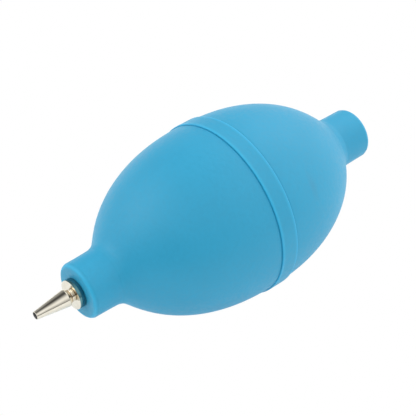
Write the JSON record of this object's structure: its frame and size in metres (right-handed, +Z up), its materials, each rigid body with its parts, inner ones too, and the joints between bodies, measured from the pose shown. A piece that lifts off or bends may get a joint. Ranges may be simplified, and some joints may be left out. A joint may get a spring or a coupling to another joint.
{
  "type": "air blower bulb",
  "caption": "Hand-squeezed rubber bulb with a raised seam band, a screw-on tapered metal nozzle and ball check valves in both necks.",
  "frame": {"origin": "on the table under the seam band, where the blower rests when it lies level", "axes": "+Z up from the table, -X out of the nozzle along the long axis, +X out of the rear neck"},
  "size_m": [0.1213, 0.055, 0.0551],
  "materials": {
    "bulb_rubber": "soft matt moulded rubber, sky blue",
    "band_rubber": "soft matt moulded rubber, sky blue",
    "nickel": "turned and nickel plated, bright",
    "brass": "turned, slightly dulled",
    "steel": "polished"
  },
  "bodies": {
    "bulb": {"front_half_shell": "bulb_rubber", "rear_half_shell": "bulb_rubber", "seam_band": "band_rubber", "nozzle_socket": "nickel", "outlet_valve_seat": "brass", "outlet_valve_spring": "steel", "inlet_valve_body": "nickel", "inlet_valve_spring": "steel", "inlet_valve_retainer": "brass"},
    "press_wall": {"front_press_wall": "bulb_rubber", "rear_press_wall": "bulb_rubber", "seam_band_press_arc": "band_rubber"},
    "washer": {"nozzle_washer": "brass"},
    "nozzle": {"nozzle_tip": "nickel"},
    "outlet_ball": {"outlet_valve_ball": "steel"},
    "inlet_ball": {"inlet_valve_ball": "steel"}
  },
  "joints": [
    {"name": "squeeze", "type": "slide", "parent": "bulb", "child": "press_wall", "axis": [0, 0, -1], "range_m": [0, 0.012], "stiffness_N_per_m": 600},
    {"name": "nozzle_advance", "type": "slide", "parent": "bulb", "child": "washer", "axis": [-1, 0, 0], "range_m": [0, 0.003]},
    {"name": "nozzle_unscrew", "type": "hinge", "parent": "washer", "child": "nozzle", "pos_m": [-0.06, 0, 0.02755], "axis": [-1, 0, 0], "range_deg": [0, 2160]},
    {"name": "outlet_ball_lift", "type": "slide", "parent": "bulb", "child": "outlet_ball", "axis": [-1, 0, 0], "range_m": [0, 0.0012], "stiffness_N_per_m": 20, "deforming": ["outlet_valve_spring"]},
    {"name": "inlet_ball_lift", "type": "slide", "parent": "bulb", "child": "inlet_ball", "axis": [-1, 0, 0], "range_m": [0, 0.0012], "stiffness_N_per_m": 20, "deforming": ["inlet_valve_spring"]}
  ],
  "couplings": [
    {"joint": "nozzle_unscrew", "follows": "nozzle_advance", "rad_per_m": 12566}
  ]
}
